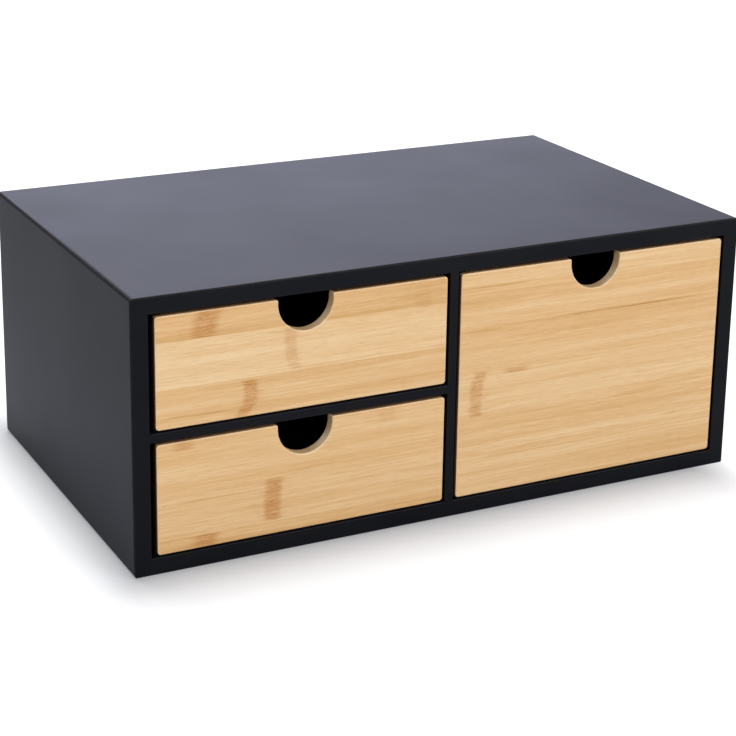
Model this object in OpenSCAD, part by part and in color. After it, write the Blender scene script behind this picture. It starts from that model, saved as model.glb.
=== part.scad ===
// Desktop cabinet with mini drawers: two small drawers one over the other on the left and
// one large drawer on the right. Each drawer front has a rounded finger notch in its top edge.
// The origin is under the middle of the cabinet, on the surface that it stands on.
// +X is to the right, +Y to the rear and +Z up. All sizes are in millimetres.

/* [Cabinet] */
// Width of the cabinet over its side panels
cabinet_w = 330; // [260:1:420]
// Depth of the cabinet, from its front edges to its rear face
cabinet_d = 200; // [150:1:280]
// Height of the cabinet over its top and bottom panels
cabinet_h = 135; // [112:1:200]
// Thickness of the top, bottom and side panels
panel_t = 8.5; // [7:0.5:12]
// Radius of the four long corners that run from front to rear
corner_r = 2; // [1:0.25:3]
// Radius of the eased arrises round the front and the rear
arris_r = 1; // [0.5:0.25:2]
// Clearance in every glued joint, left for the glue
glue_gap = 0.05; // [0.02:0.01:0.15]

/* [Divider, shelf and back] */
// Thickness of the upright divider
divider_t = 4.5; // [4:0.5:8]
// How far the divider stands to the left of the cabinet's middle
divider_shift = 1; // [0:0.5:12]
// Thickness of the shelf between the two small drawers
shelf_t = 4.5; // [3.5:0.5:8]
// Depth of the housings that take the divider and the shelf's left end
housing_depth = 3; // [2:0.5:4]
// Depth of the housing in the divider that takes the shelf's right end
divider_housing_depth = 1.5; // [1:0.25:2]
// Thickness of the back panel
back_t = 3; // [2:0.5:5]
// Width of the rebates that the back panel lies in
back_rebate_w = 4; // [3:0.5:5]

/* [Dowels in the cabinet's corners] */
// Diameter of a dowel
dowel_d = 5; // [4:0.5:5.5]
// Length of a dowel
dowel_len = 14; // [11:1:20]
// How far a dowel reaches into the top or bottom panel
dowel_bite = 5; // [3.5:0.5:6]
// Spare depth at each end of a dowel's hole
dowel_end_gap = 0.5; // [0.3:0.1:1]
// Dowels in each of the four corners
dowels_per_corner = 3; // [2:1:5]
// Distance from the cabinet's front or rear to the nearest dowel
dowel_inset = 28; // [15:1:45]

/* [Brads] */
// Diameter of a brad's shank
brad_d = 1.2; // [1:0.1:1.4]
// Diameter of a brad's head
brad_head_d = 2.2; // [1.8:0.1:2.6]
// Thickness of a brad's head, which is driven in flush
brad_head_t = 0.6; // [0.4:0.1:0.9]
// Length of the brads that hold the back panel
back_brad_len = 12; // [9:1:18]
// Length of the brads in the drawers' corners
drawer_brad_len = 14; // [10:1:20]
// Clearance round a brad and under its head
brad_gap = 0.03; // [0.02:0.01:0.06]
// Brads along the back panel's top edge, and as many along its bottom edge
brads_per_long_edge = 4; // [2:1:8]
// Brads up each side of the back panel
brads_per_side_edge = 2; // [2:1:4]
// Distance from the cabinet's corner to the nearest brad in the back panel
back_brad_inset = 34; // [20:1:45]
// Brads in each corner of a small drawer
small_drawer_brads = 2; // [2:1:3]
// Brads in each corner of the large drawer
large_drawer_brads = 3; // [2:1:5]
// Distance from a drawer side's upper or lower edge to the nearest brad
drawer_brad_inset = 12; // [9:1:16]

/* [Drawer fronts] */
// Thickness of a drawer front
front_t = 5.5; // [4.5:0.5:8]
// How far the drawer fronts lie behind the cabinet's front edges
front_setback = 0.3; // [0.1:0.1:3]
// Radius of a drawer front's four corners
front_corner_r = 1.75; // [0.5:0.25:3]
// Gap over each drawer front
front_gap_top = 1.5; // [0.6:0.1:3]
// Gap under each drawer front
front_gap_bottom = 0.8; // [0.5:0.1:3]
// Gap to the left of each small drawer
small_gap_left = 3; // [0.6:0.1:4]
// Gap to the right of each small drawer
small_gap_right = 1.2; // [0.6:0.1:4]
// Gap to the left of the large drawer
large_gap_left = 1.7; // [0.6:0.1:4]
// Gap to the right of the large drawer
large_gap_right = 1.2; // [0.6:0.1:4]
// Width of a finger notch
notch_w = 28; // [18:1:40]
// Depth of a finger notch below the front's top edge
notch_depth = 16.5; // [14.5:0.5:24]
// Radius of the two lips where a notch meets the top edge
notch_lip_r = 1.2; // [0.5:0.1:2.5]

/* [Drawer boxes] */
// Thickness of a drawer's sides
side_t = 5; // [4:0.5:8]
// Thickness of a drawer's back board
rear_t = 5; // [4:0.5:8]
// Thickness of a drawer's bottom board
bottom_t = 3; // [2:0.5:4]
// Depth of the rebates in a front's rear face that take the ends of the sides
front_rebate = 2.5; // [2:0.25:3]
// Height from a side's lower edge to the underside of the bottom board
bottom_lift = 2.5; // [1.5:0.5:4]
// Depth of the grooves round the bottom board
bottom_groove = 2; // [1:0.25:2.5]
// How far the sides' upper edges lie below the front's top edge
side_drop = 5; // [1:0.5:12]
// Running gap between a side's lower edge and the board that it slides on
run_gap = 0.3; // [0.2:0.05:0.8]
// Gap between a closed drawer and the cabinet's back panel
rear_gap = 1; // [0.5:0.1:4]

/* [Hidden] */
$fn = 64;

PAINT = [0.10, 0.10, 0.115];
BOX_PAINT = [0.05, 0.05, 0.055];
BAMBOO = [0.87, 0.71, 0.51];
BEECH = [0.80, 0.66, 0.48];
STEEL = [0.62, 0.62, 0.62];

// How far a cutting shape runs past the face that it cuts
over = 1;

// The cabinet's outer and inner faces
half_w = cabinet_w / 2;
half_d = cabinet_d / 2;
inner_x = half_w - panel_t;
floor_z = panel_t;
ceiling_z = cabinet_h - panel_t;
side_h = ceiling_z - floor_z;
back_y = half_d - back_t;

// The divider's two faces
divider_left = -divider_shift - divider_t / 2;
divider_right = divider_left + divider_t;

// The shelf lies halfway up the inside
shelf_z = (floor_z + ceiling_z - shelf_t) / 2;

// A drawer is written as [left, width, lower edge of the front, height, brads in a corner]
small_w = inner_x + divider_left - small_gap_left - small_gap_right;
large_w = inner_x - divider_right - large_gap_left - large_gap_right;
front_gaps = front_gap_top + front_gap_bottom;
small_h = shelf_z - floor_z - front_gaps;
large_h = side_h - front_gaps;
small_x = small_gap_left - inner_x;
large_x = divider_right + large_gap_left;
LOWER = [small_x, small_w, floor_z + front_gap_bottom, small_h, small_drawer_brads];
UPPER = [small_x, small_w, shelf_z + shelf_t + front_gap_bottom, small_h, small_drawer_brads];
LARGE = [large_x, large_w, floor_z + front_gap_bottom, large_h, large_drawer_brads];

// From front to rear, the same in every drawer
front_y = front_setback - half_d;
front_rear_y = front_y + front_t;
rear_end_y = back_y - rear_gap;
rear_y = rear_end_y - rear_t;

function drawer_x(d) = d[0];
function drawer_w(d) = d[1];
function front_z(d) = d[2];
function front_h(d) = d[3];
function corner_brads(d) = d[4];
function box_z(d) = front_z(d) - front_gap_bottom + run_gap;
function box_h(d) = front_z(d) + front_h(d) - side_drop - box_z(d);

// Evenly spaced places from a to b
function spaced(a, b, n) = [for (i = [0:n - 1]) a + (b - a) * i / (n - 1)];

// ---------- shared shapes ----------

// A rectangle round the origin with rounded corners
module soft_rect(w, h, r) {
    square([w - 2 * r, h], center = true);
    square([w, h - 2 * r], center = true);
    for (x = [-1, 1], y = [-1, 1])
        translate([x * (w / 2 - r), y * (h / 2 - r)]) circle(r);
}

// A block between two corners
module block(low, high) {
    translate(low) cube(high - low);
}

// The whole outside of the cabinet, with its long corners and its arrises rounded
module cabinet_outside() {
    intersection() {
        translate([0, half_d + over, cabinet_h / 2]) rotate([90, 0, 0])
            linear_extrude(cabinet_d + 2 * over) soft_rect(cabinet_w, cabinet_h, corner_r);
        translate([0, 0, -over]) linear_extrude(cabinet_h + 2 * over)
            soft_rect(cabinet_w, cabinet_d, arris_r);
        translate([-half_w - over, 0, cabinet_h / 2]) rotate([90, 0, 90])
            linear_extrude(cabinet_w + 2 * over) soft_rect(cabinet_d, cabinet_h, arris_r);
    }
}

// The space that the back panel lies in, open to the rear
module back_rebate() {
    reach = back_rebate_w;
    block([-inner_x - reach, back_y, floor_z - reach],
          [inner_x + reach, half_d + over, ceiling_z + reach]);
}

// A dowel, or its hole with gap round it and spare depth at its ends, standing on z = 0
module dowel(gap = 0, spare = 0) {
    translate([0, 0, -spare]) cylinder(d = dowel_d + 2 * gap, h = dowel_len + 2 * spare);
}

// All the dowels, half of them pointing down into the bottom panel and half up into the top
module all_dowels(gap = 0, spare = 0) {
    for (x = [-1, 1], y = spaced(dowel_inset - half_d, half_d - dowel_inset, dowels_per_corner)) {
        translate([x * (half_w - panel_t / 2), y, 0]) {
            translate([0, 0, floor_z - dowel_bite]) dowel(gap, spare);
            translate([0, 0, ceiling_z + dowel_bite - dowel_len]) dowel(gap, spare);
        }
    }
}

// A brad driven along +X, its head's outer face on x = 0; gap > 0 makes its hole
module brad(length, gap = 0) {
    out = gap > 0 ? over : 0;
    rotate([0, 90, 0]) {
        translate([0, 0, -out]) cylinder(d = brad_head_d + 2 * gap, h = brad_head_t + gap + out);
        cylinder(d = brad_d + 2 * gap, h = length + gap);
    }
}

// ---------- cabinet ----------

module top_panel() {
    color(PAINT) difference() {
        intersection() {
            cabinet_outside();
            block([-half_w, -half_d, ceiling_z], [half_w, half_d, cabinet_h]);
        }
        divider_housing();
        back_rebate();
        all_dowels(glue_gap, dowel_end_gap);
        all_back_brads(brad_gap);
    }
}

module bottom_panel() {
    color(PAINT) difference() {
        intersection() {
            cabinet_outside();
            block([-half_w, -half_d, 0], [half_w, half_d, floor_z]);
        }
        divider_housing();
        back_rebate();
        all_dowels(glue_gap, dowel_end_gap);
        all_back_brads(brad_gap);
    }
}

module side_panel(side) {
    color(PAINT) difference() {
        intersection() {
            cabinet_outside();
            translate([side * (half_w - panel_t / 2), 0, cabinet_h / 2])
                cube([panel_t, cabinet_d, side_h], center = true);
        }
        if (side < 0) shelf_housing();
        back_rebate();
        all_dowels(glue_gap, dowel_end_gap);
        all_back_brads(brad_gap);
    }
}

module left_side_panel() side_panel(-1);
module right_side_panel() side_panel(1);

module back_panel() {
    reach = back_rebate_w - glue_gap;
    color(BOX_PAINT) difference() {
        block([-inner_x - reach, back_y, floor_z - reach], [inner_x + reach, half_d, ceiling_z + reach]);
        all_back_brads(brad_gap);
    }
}

// The grooves in the top and bottom panels that the divider stands in
module divider_housing() {
    deep = housing_depth + glue_gap;
    block([divider_left - glue_gap, -half_d - over, floor_z - deep],
          [divider_right + glue_gap, half_d + over, ceiling_z + deep]);
}

// The grooves in the left side panel and the divider that the shelf lies in
module shelf_housing() {
    right_end = divider_left + divider_housing_depth;
    block([-inner_x - housing_depth - glue_gap, -half_d - over, shelf_z - glue_gap],
          [right_end + glue_gap, half_d + over, shelf_z + shelf_t + glue_gap]);
}

module centre_divider() {
    color(PAINT) difference() {
        block([divider_left, -half_d, floor_z - housing_depth],
              [divider_right, back_y, ceiling_z + housing_depth]);
        shelf_housing();
    }
}

module left_shelf() {
    color(PAINT)
        block([-inner_x - housing_depth, -half_d, shelf_z],
              [divider_left + divider_housing_depth, back_y, shelf_z + shelf_t]);
}

module corner_dowels() {
    color(BEECH) all_dowels();
}

// The brads round the back panel, driven forward from its rear face
module all_back_brads(gap = 0) {
    edge_x = inner_x + back_rebate_w / 2;
    low_z = floor_z - back_rebate_w / 2;
    high_z = ceiling_z + back_rebate_w / 2;
    along = spaced(back_brad_inset - half_w, half_w - back_brad_inset, brads_per_long_edge);
    up = spaced(back_brad_inset, cabinet_h - back_brad_inset, brads_per_side_edge);
    places = concat([for (x = along, z = [low_z, high_z]) [x, z]],
                    [for (x = [-edge_x, edge_x], z = up) [x, z]]);
    for (p = places)
        translate([p[0], half_d, p[1]]) rotate([0, 0, -90]) brad(back_brad_len, gap);
}

module back_brads() {
    color(STEEL) all_back_brads();
}

// ---------- drawers ----------

// The finger notch, seen from the front, below a top edge on y = 0
module notch_outline() {
    r = notch_w / 2;
    translate([0, r - notch_depth]) {
        circle(r);
        translate([-r, 0]) square([notch_w, notch_depth - r + over]);
    }
    difference() {
        translate([-r - notch_lip_r, -notch_lip_r])
            square([notch_w + 2 * notch_lip_r, notch_lip_r + over]);
        for (x = [-1, 1])
            translate([x * (r + notch_lip_r), -notch_lip_r]) circle(notch_lip_r);
    }
}

// The board that closes the front of a drawer
module drawer_front(d) {
    w = drawer_w(d);
    h = front_h(d);
    x = drawer_x(d);
    color(BAMBOO) difference() {
        translate([x + w / 2, front_rear_y, front_z(d) + h / 2]) rotate([90, 0, 0])
            linear_extrude(front_t) difference() {
                soft_rect(w, h, front_corner_r);
                translate([0, h / 2]) notch_outline();
            }
        for (side = [[x - over, x + side_t + glue_gap], [x + w - side_t - glue_gap, x + w + over]])
            block([side[0], front_rear_y - front_rebate - glue_gap, front_z(d) - over],
                  [side[1], front_rear_y + over, front_z(d) + box_h(d) + side_drop]);
        drawer_bottom_board(d, glue_gap);
        all_drawer_brads(d, brad_gap);
    }
}

// One side of a drawer, side = 0 on the left and 1 on the right
module drawer_side(d, side) {
    x = drawer_x(d) + side * (drawer_w(d) - side_t);
    color(BOX_PAINT) difference() {
        block([x, front_rear_y - front_rebate, box_z(d)], [x + side_t, rear_end_y, box_z(d) + box_h(d)]);
        drawer_bottom_board(d, glue_gap);
        all_drawer_brads(d, brad_gap);
    }
}

// The board across the rear of a drawer, between its sides
module drawer_rear(d) {
    x = drawer_x(d) + side_t + glue_gap;
    color(BOX_PAINT) difference() {
        block([x, rear_y, box_z(d)],
              [drawer_x(d) + drawer_w(d) - side_t - glue_gap, rear_end_y, box_z(d) + box_h(d)]);
        drawer_bottom_board(d, glue_gap);
        all_drawer_brads(d, brad_gap);
    }
}

// The bottom board, held in grooves all round; gap > 0 makes the grooves
module drawer_bottom_board(d, gap = 0) {
    inset = side_t - bottom_groove - gap;
    low = box_z(d) + bottom_lift - gap;
    block([drawer_x(d) + inset, front_rear_y - bottom_groove - gap, low],
          [drawer_x(d) + drawer_w(d) - inset, rear_y + bottom_groove + gap, low + bottom_t + 2 * gap]);
}

module drawer_bottom(d) {
    color(BOX_PAINT) drawer_bottom_board(d);
}

// The brads in a drawer's corners, driven inward through its sides
module all_drawer_brads(d, gap = 0) {
    low = box_z(d) + drawer_brad_inset;
    high = box_z(d) + box_h(d) - drawer_brad_inset;
    joints = [front_rear_y - front_rebate / 2, rear_y + rear_t / 2];
    for (y = joints, z = spaced(low, high, corner_brads(d))) {
        translate([drawer_x(d), y, z]) brad(drawer_brad_len, gap);
        translate([drawer_x(d) + drawer_w(d), y, z]) rotate([0, 0, 180]) brad(drawer_brad_len, gap);
    }
}

module drawer_brads(d) {
    color(STEEL) all_drawer_brads(d);
}

module upper_drawer_front() drawer_front(UPPER);
module upper_drawer_left_side() drawer_side(UPPER, 0);
module upper_drawer_right_side() drawer_side(UPPER, 1);
module upper_drawer_rear() drawer_rear(UPPER);
module upper_drawer_bottom() drawer_bottom(UPPER);
module upper_drawer_brads() drawer_brads(UPPER);

module lower_drawer_front() drawer_front(LOWER);
module lower_drawer_left_side() drawer_side(LOWER, 0);
module lower_drawer_right_side() drawer_side(LOWER, 1);
module lower_drawer_rear() drawer_rear(LOWER);
module lower_drawer_bottom() drawer_bottom(LOWER);
module lower_drawer_brads() drawer_brads(LOWER);

module large_drawer_front() drawer_front(LARGE);
module large_drawer_left_side() drawer_side(LARGE, 0);
module large_drawer_right_side() drawer_side(LARGE, 1);
module large_drawer_rear() drawer_rear(LARGE);
module large_drawer_bottom() drawer_bottom(LARGE);
module large_drawer_brads() drawer_brads(LARGE);

top_panel();
bottom_panel();
left_side_panel();
right_side_panel();
back_panel();
centre_divider();
left_shelf();
corner_dowels();
back_brads();
upper_drawer_front();
upper_drawer_left_side();
upper_drawer_right_side();
upper_drawer_rear();
upper_drawer_bottom();
upper_drawer_brads();
lower_drawer_front();
lower_drawer_left_side();
lower_drawer_right_side();
lower_drawer_rear();
lower_drawer_bottom();
lower_drawer_brads();
large_drawer_front();
large_drawer_left_side();
large_drawer_right_side();
large_drawer_rear();
large_drawer_bottom();
large_drawer_brads();
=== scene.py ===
import math
import bmesh
import bpy
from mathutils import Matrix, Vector


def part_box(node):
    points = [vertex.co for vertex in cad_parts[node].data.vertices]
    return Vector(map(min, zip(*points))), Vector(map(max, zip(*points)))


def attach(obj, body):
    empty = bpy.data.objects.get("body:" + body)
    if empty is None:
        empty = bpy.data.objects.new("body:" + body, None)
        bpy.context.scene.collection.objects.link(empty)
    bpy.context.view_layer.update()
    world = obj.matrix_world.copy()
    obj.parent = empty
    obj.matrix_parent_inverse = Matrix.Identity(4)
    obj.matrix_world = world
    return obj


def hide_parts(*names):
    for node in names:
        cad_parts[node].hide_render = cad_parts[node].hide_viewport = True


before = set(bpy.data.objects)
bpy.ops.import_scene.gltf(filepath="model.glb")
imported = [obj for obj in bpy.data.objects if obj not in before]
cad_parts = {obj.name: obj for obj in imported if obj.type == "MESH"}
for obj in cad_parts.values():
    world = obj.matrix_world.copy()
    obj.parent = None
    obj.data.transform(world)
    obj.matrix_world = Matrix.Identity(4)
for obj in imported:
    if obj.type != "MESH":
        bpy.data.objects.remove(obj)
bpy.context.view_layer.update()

# ---------- The camera ----------
# It stands to the left of the cabinet's front and looks slightly down on it. All sizes in
# this file are in metres and all angles in degrees. +X is right, +Y the rear and +Z up.
CAMERA_PLACE = (-0.4449, -0.8796, 0.4058)
CAMERA_TURN = (73.729, -0.870, -26.730)
CAMERA_LENS = 96.35
CAMERA_SENSOR = 36
CAMERA_SHIFT_Y = -0.18

scene = bpy.context.scene
scene.view_settings.view_transform = "Standard"
camera = bpy.data.objects.new("camera", bpy.data.cameras.new("camera"))
scene.collection.objects.link(camera)
camera.location = CAMERA_PLACE
camera.rotation_euler = [math.radians(angle) for angle in CAMERA_TURN]
camera.data.lens = CAMERA_LENS
camera.data.sensor_width = CAMERA_SENSOR
camera.data.shift_y = CAMERA_SHIFT_Y
camera.data.clip_start = 0.01
camera.data.clip_end = 50
scene.camera = camera


# ---------- The studio ----------
# A wide pale table top, a pale surround that dims upwards, one broad lamp over the cabinet
# and two softer ones on the camera's side. The table looks white where no shadow falls.
TABLE_SIZE = 14
TABLE_PAPER = (0.352, 0.358, 0.382, 1)
# The table's own glow, dimmed near the cabinet's foot as a painted shadow, at a distance from the
# foot that is a share of TABLE_REACH. The painted shadow is short on the left and does not show on the
# right.
TABLE_REACH = 1.2
TABLE_GLOW_AND_PAINTED_SHADOW = [(0.0, 0.20), (0.0036, 0.28), (0.0107, 0.39), (0.0178, 0.53)]
TABLE_GLOW_AND_PAINTED_SHADOW += [(0.031, 0.71), (0.0535, 0.79), (0.35, 0.84), (1.0, 1.0)]
CABINET_FOOT = (0.165, 0.100)
SHADOW_MIDDLE_X = -0.010
SHADOW_SQUEEZE_X = 1.63
# A painted shadow on the table, seen only in what mirrors it: the paint mirrors the table dimmer
# towards the rear left. (none, full) along X and along Y.
DIM_MIRROR_X = (-0.19, -0.28)
DIM_MIRROR_Y = (-0.02, 0.16)
DIM_MIRROR_SHARE = 0.7
LAMPS = {
    "lamp_over": {"place": (-0.05, 0.55, 1.15), "size": (1.0, 0.6), "watts": 10.5},
    "lamp_left": {"place": (-0.75, -1.45, 0.95), "size": (0.8, 0.8), "watts": 10.8},
    "lamp_right": {"place": (0.9, -1.5, 0.75), "size": (1.0, 0.7), "watts": 11.4},
}
LAMP_TARGET = Vector((0, 0, 0.06))
# White all round, and brighter still in one patch behind the cabinet, which the top panel
# mirrors. Mirrored white is a little cool. AMBIENT is the surround's share in plain light.
COOL_WHITE = (0.32, 0.328, 0.412, 1)
AMBIENT = 0.50
BACKDROP_AZIMUTH = 17
BACKDROP_HEIGHT = 24
BACKDROP_SPREAD = (32, 4)
BACKDROP_LEVEL = 4.25


class Wires:
    """Adds nodes to one tree and joins them. A value is a socket, which is linked, or else a
    number, vector or colour, which is set on the input. Most methods return a socket."""

    def __init__(self, tree):
        self.tree = tree

    def join(self, value, socket):
        if isinstance(value, bpy.types.NodeSocket):
            self.tree.links.new(value, socket)
        elif value is not None:
            socket.default_value = value

    def add(self, kind, inputs=(), **settings):
        """A node with its inputs, by name or place, and its settings."""
        node = self.tree.nodes.new(kind)
        for name, setting in settings.items():
            setattr(node, name, setting)
        for key, value in dict(inputs).items():
            self.join(value, node.inputs[key])
        return node

    def math(self, operation, a, b=None, c=None, clamp=False):
        inputs = {i: v for i, v in enumerate((a, b, c)) if v is not None}
        node = self.add("ShaderNodeMath", inputs, operation=operation, use_clamp=clamp)
        return node.outputs[0]

    def vector(self, operation, a, b=None, scale=None):
        inputs = {0: a}
        if b is not None:
            inputs[1] = b
        if scale is not None:
            inputs["Scale"] = scale
        return self.add("ShaderNodeVectorMath", inputs, operation=operation).outputs[0]

    def length(self, vector):
        node = self.add("ShaderNodeVectorMath", {0: vector}, operation="LENGTH")
        return node.outputs["Value"]

    def split(self, vector):
        """The X, Y and Z of a vector."""
        return self.add("ShaderNodeSeparateXYZ", {0: vector}).outputs

    def combine(self, x=0.0, y=0.0, z=0.0):
        """The vector of three numbers."""
        return self.add("ShaderNodeCombineXYZ", {0: x, 1: y, 2: z}).outputs[0]

    def mix(self, factor, a, b):
        """Colour a where the factor is 0 and colour b where it is 1."""
        factor_in, first_colour, second_colour, colour_out = 0, 6, 7, 2
        inputs = {factor_in: factor, first_colour: a, second_colour: b}
        return self.add("ShaderNodeMix", inputs, data_type="RGBA").outputs[colour_out]

    def range(self, value, low, high, to_low=0.0, to_high=1.0, smooth=False):
        """A value moved from the span low to high into the span to_low to to_high."""
        inputs = {"Value": value, "From Min": low, "From Max": high}
        inputs.update({"To Min": to_low, "To Max": to_high})
        kind = "SMOOTHSTEP" if smooth else "LINEAR"
        return self.add("ShaderNodeMapRange", inputs, interpolation_type=kind).outputs[0]

    def ramp(self, value, stops, interpolation="LINEAR"):
        """The colour at a value. stops are (value, colour)."""
        node = self.add("ShaderNodeValToRGB", {"Fac": value})
        node.color_ramp.interpolation = interpolation
        elements = node.color_ramp.elements
        while len(elements) < len(stops):
            elements.new(1.0)
        for element, (place, colour) in zip(elements, stops):
            element.position = place
            element.color = (*colour, 1)
        return node.outputs[0]

    def noise(self, where, scale, detail=2.0, roughness=0.5):
        inputs = {"Vector": where, "Scale": scale, "Detail": detail, "Roughness": roughness}
        return self.add("ShaderNodeTexNoise", inputs).outputs[0]

    def swing(self, noise, reach):
        """Noise moved to run about zero, half its reach to either side."""
        return self.math("MULTIPLY_ADD", noise, reach, -reach / 2)

    def drawn_noise(self, where, scales, detail=2.0, roughness=0.5):
        """Noise with a scale of its own along each axis: a small one draws it out there."""
        return self.noise(self.vector("MULTIPLY", where, scales), 1.0, detail, roughness)

    def surface(self, colour, rough, height, relief, specular=0.5, metallic=0.0):
        """The material's shader. relief is the strength and the depth of the height."""
        bump = {"Height": height, "Strength": relief[0], "Distance": relief[1]}
        bump = self.add("ShaderNodeBump", bump).outputs[0]
        inputs = {"Base Color": colour, "Roughness": rough, "Normal": bump, "Metallic": metallic}
        inputs["Specular IOR Level"] = specular
        shader = self.add("ShaderNodeBsdfPrincipled", inputs)
        self.add("ShaderNodeOutputMaterial", {"Surface": shader.outputs[0]})


def new_material(name):
    """An empty material that uses nodes, and the wires for them."""
    material = bpy.data.materials.new(name)
    material.use_nodes = True
    material.node_tree.nodes.clear()
    return material, Wires(material.node_tree)


def seen_or_mirrored(wires):
    """Three sockets: 1 where the camera sees a thing, directly or mirrored; 1 where it sees it
    mirrored; and the white that it then has, plain or, mirrored, a little cool."""
    path = wires.add("ShaderNodeLightPath").outputs
    mirrored = wires.math("MAXIMUM", path["Is Glossy Ray"], path["Is Transmission Ray"])
    seen = wires.math("ADD", path["Is Camera Ray"], mirrored, clamp=True)
    return seen, mirrored, wires.mix(mirrored, (1, 1, 1, 1), COOL_WHITE)


# The table top: its glow shows only to the camera and in what mirrors it, so that it adds
# no light to the cabinet. The glow is dimmed round the cabinet's foot as a painted shadow, and
# the cabinet's real shadow still darkens the paper under it.
table_material, wires = new_material("studio_table")
seen, mirrored, white = seen_or_mirrored(wires)
place = wires.add("ShaderNodeTexCoord").outputs["Object"]
aside = wires.vector("ABSOLUTE", wires.vector("SUBTRACT", place, (SHADOW_MIDDLE_X, 0, 0)))
aside = wires.vector("SUBTRACT", aside, (CABINET_FOOT[0] + SHADOW_MIDDLE_X, CABINET_FOOT[1], 0))
aside = wires.vector("MAXIMUM", aside, (0, 0, 0))
aside = wires.vector("MULTIPLY", aside, (SHADOW_SQUEEZE_X, 1, 0))
away = wires.math("DIVIDE", wires.length(aside), TABLE_REACH)
# The glow ramp holds the painted shadow: dim at the cabinet's foot, white further out.
glow_with_painted_shadow = wires.ramp(away, [(share, (level, level, level)) for share, level in TABLE_GLOW_AND_PAINTED_SHADOW])
axes = wires.split(place)
# A painted shadow behind the cabinet on the left, which only mirrored rays see.
dim = wires.range(axes[0], *DIM_MIRROR_X, smooth=True)
dim = wires.math("MULTIPLY", dim, wires.range(axes[1], *DIM_MIRROR_Y, smooth=True))
dim = wires.math("MULTIPLY", dim, mirrored)
glow_with_painted_shadow = wires.math("MULTIPLY", glow_with_painted_shadow, wires.math("MULTIPLY_ADD", dim, -DIM_MIRROR_SHARE, 1.0))
paper = wires.add("ShaderNodeBsdfDiffuse", {"Color": TABLE_PAPER})
strength = wires.math("MULTIPLY", seen, glow_with_painted_shadow)
glow_with_painted_shadow = wires.add("ShaderNodeEmission", {"Color": white, "Strength": strength})
both = wires.add("ShaderNodeAddShader", {0: paper.outputs[0], 1: glow_with_painted_shadow.outputs[0]})
wires.add("ShaderNodeOutputMaterial", {"Surface": both.outputs[0]})

table_mesh = bpy.data.meshes.new("studio_table")
half_table = TABLE_SIZE / 2
corners = [(-1, -1), (1, -1), (1, 1), (-1, 1)]
table_mesh.from_pydata([(x * half_table, y * half_table, 0) for x, y in corners], [], [(0, 1, 2, 3)])
table_mesh.materials.append(table_material)
table_top = bpy.data.objects.new("studio_table", table_mesh)
scene.collection.objects.link(table_top)

world = bpy.data.worlds.new("studio_surround")
scene.world = world
world.use_nodes = True
world.node_tree.nodes.clear()
wires = Wires(world.node_tree)
seen, _, white = seen_or_mirrored(wires)
direction = wires.add("ShaderNodeTexCoord").outputs["Generated"]
azimuth = math.radians(BACKDROP_AZIMUTH)
height = math.radians(BACKDROP_HEIGHT)
level = math.cos(height)
middle = (math.sin(azimuth) * level, math.cos(azimuth) * level, math.sin(height))
aim = wires.add("ShaderNodeVectorMath", {0: direction, 1: middle}, operation="DOT_PRODUCT")
rim, core = (math.cos(math.radians(angle)) for angle in BACKDROP_SPREAD)
patch = wires.range(aim.outputs["Value"], rim, core, 0.0, BACKDROP_LEVEL, smooth=True)
plain = wires.range(seen, 0.0, 1.0, AMBIENT, 1.0)
strength = wires.math("MULTIPLY_ADD", plain, patch, plain)
surround = wires.add("ShaderNodeBackground", {"Color": white, "Strength": strength})
wires.add("ShaderNodeOutputWorld", {"Surface": surround.outputs[0]})

for name, lamp in LAMPS.items():
    light = bpy.data.lights.new(name, "AREA")
    light.shape = "RECTANGLE"
    light.size, light.size_y = lamp["size"]
    light.energy = lamp["watts"]
    holder = bpy.data.objects.new(name, light)
    holder.location = lamp["place"]
    toward = LAMP_TARGET - holder.location
    holder.rotation_euler = toward.to_track_quat("-Z", "Y").to_euler()
    scene.collection.objects.link(holder)


# ---------- Painted cabinet panels, divider and shelf ----------
# Thin boards, glued and dowelled into one case, then sprayed with a satin black paint that
# hides the joints. The arrises are eased, and the paint lies thinner on them.
ARRIS_RADIUS = 0.0005
ARRIS_STEPS = 4
MERGE_DISTANCE = 1e-6
SHARP_ANGLE = 40
FLAT_FACE = 0.99999


def link_piece(name, mesh, material):
    """Puts a mesh with its material in the scene as an object at the origin."""
    mesh.materials.clear()
    mesh.materials.append(material)
    piece = bpy.data.objects.new(name, mesh)
    scene.collection.objects.link(piece)
    return piece


def settle(piece):
    """Makes the piece's modifiers part of its mesh and takes them away."""
    depsgraph = bpy.context.evaluated_depsgraph_get()
    shaped = bpy.data.meshes.new_from_object(piece.evaluated_get(depsgraph))
    old = piece.data
    piece.modifiers.clear()
    piece.data = shaped
    bpy.data.meshes.remove(old)


def finished_mesh(name, bm):
    """A mesh of what was built in bm, which is freed."""
    mesh = bpy.data.meshes.new(name)
    bm.to_mesh(mesh)
    bm.free()
    return mesh


def joined_copy(node):
    """A mesh with a node's shape whose loose triangles are joined at their corners."""
    bm = bmesh.new()
    bm.from_mesh(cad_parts[node].data)
    bmesh.ops.remove_doubles(bm, verts=bm.verts, dist=MERGE_DISTANCE)
    return finished_mesh(node, bm)


def solid_through(rings):
    """A closed solid through rings of equally many corners: (bm, its two end faces)."""
    bm = bmesh.new()
    loops = [[bm.verts.new(corner) for corner in ring] for ring in rings]
    count = len(rings[0])
    for near, far in zip(loops, loops[1:]):
        for i in range(count):
            j = (i + 1) % count
            bm.faces.new((near[i], near[j], far[j], far[i]))
    ends = [bm.faces.new(loops[0]), bm.faces.new(loops[-1])]
    bmesh.ops.recalc_face_normals(bm, faces=bm.faces)
    return bm, ends


def cutter_through(rings):
    """The same solid as an object that carve() takes out of a piece."""
    bm, _ = solid_through(rings)
    cutter = bpy.data.objects.new("cutter", finished_mesh("cutter", bm))
    scene.collection.objects.link(cutter)
    return cutter


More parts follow.
